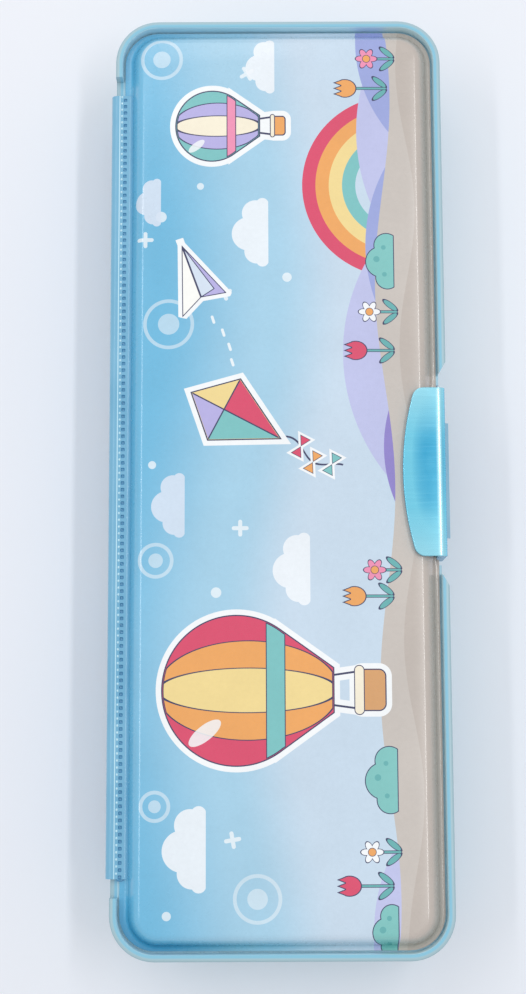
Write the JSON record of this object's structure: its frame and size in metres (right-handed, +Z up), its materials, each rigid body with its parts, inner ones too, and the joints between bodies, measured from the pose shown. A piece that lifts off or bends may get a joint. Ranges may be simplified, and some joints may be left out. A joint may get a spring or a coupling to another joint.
{
  "type": "plastic pencil box",
  "caption": "Long plastic pencil box with a raised rim, a padded printed lid on a vinyl hinge, and a metal-faced magnetic clasp at the front edge.",
  "frame": {"origin": "on the table, under the middle of the case's plan", "axes": "+Z up, +Y along the box's length, +X towards the clasp; the hinge is on the -X side"},
  "size_m": [0.0877, 0.238, 0.0298],
  "materials": {
    "case_plastic": "satin",
    "comb_plastic": "satin",
    "hinge_vinyl": "satin",
    "batten_plastic": "satin",
    "rivet_metal": "satin",
    "clear_film": "gloss",
    "printed_sheet": "gloss",
    "pad_foam": "matte",
    "grey_board": "matte",
    "lining_vinyl": "satin",
    "clasp_metal": "gloss",
    "clasp_plastic": "satin",
    "magnet": "matte",
    "keeper_steel": "satin"
  },
  "bodies": {
    "case": {"case_tray": "case_plastic", "keeper_plate": "keeper_steel", "pencil_comb_near": "comb_plastic", "pencil_comb_far": "comb_plastic", "hinge_spine": "hinge_vinyl", "hinge_batten": "batten_plastic", "hinge_rivets": "rivet_metal"},
    "lid": {"hinge_flange": "hinge_vinyl", "lid_film": "clear_film", "lid_print": "printed_sheet", "lid_foam": "pad_foam", "lid_board": "grey_board", "lid_lining": "lining_vinyl", "clasp_cap": "clasp_metal", "clasp_core": "clasp_plastic", "clasp_magnets": "magnet", "clasp_post_caps": "comb_plastic"}
  },
  "joints": [
    {"name": "lid_hinge", "type": "hinge", "parent": "case", "child": "lid", "pos_m": [-0.04275, 0, 0.0256], "axis": [0, -1, 0], "range_deg": [0, 190]}
  ]
}
